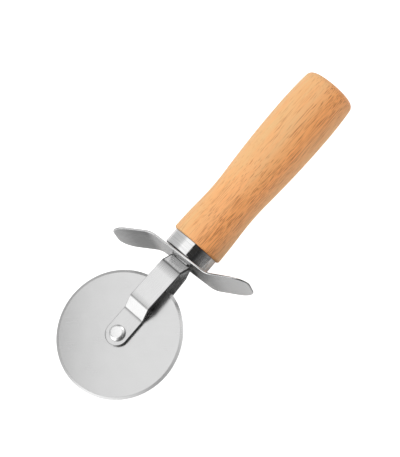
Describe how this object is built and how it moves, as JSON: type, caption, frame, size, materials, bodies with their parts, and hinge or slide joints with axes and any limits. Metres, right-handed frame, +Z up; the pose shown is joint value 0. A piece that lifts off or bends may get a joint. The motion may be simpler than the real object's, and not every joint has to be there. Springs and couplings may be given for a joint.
{
  "type": "pizza wheel",
  "caption": "Pizza wheel: a bevelled steel disc turns on a rivet between two joggled fork arms, with an S-bent finger guard, a ferrule and a turned wooden handle.",
  "frame": {"origin": "middle of the part's outline seen from above, at the height of the surface that it lies on", "axes": "+X along the handle's axis from the wheel to the butt, +Z up along the axle, +Y towards the wing of the guard that bends to the wheel"},
  "size_m": [0.1924, 0.0726, 0.0299],
  "materials": {
    "wood": "satin",
    "ferrule_steel": "polished",
    "guard_steel": "satin",
    "arm_steel": "brushed",
    "wheel_steel": "brushed",
    "spacer_steel": "plain",
    "rivet_steel": "polished"
  },
  "bodies": {
    "frame": {"handle": "wood", "ferrule": "ferrule_steel", "guard": "guard_steel", "arm_front": "arm_steel", "arm_back": "arm_steel", "spacer_front": "spacer_steel", "spacer_back": "spacer_steel", "rivet_pin": "rivet_steel", "rivet_tube": "rivet_steel"},
    "wheel": {"wheel": "wheel_steel"}
  },
  "joints": [
    {"name": "wheel_spin", "type": "hinge", "parent": "frame", "child": "wheel", "pos_m": [-0.06372, 0, 0.01495], "axis": [0, 0, 1], "continuous": true}
  ]
}
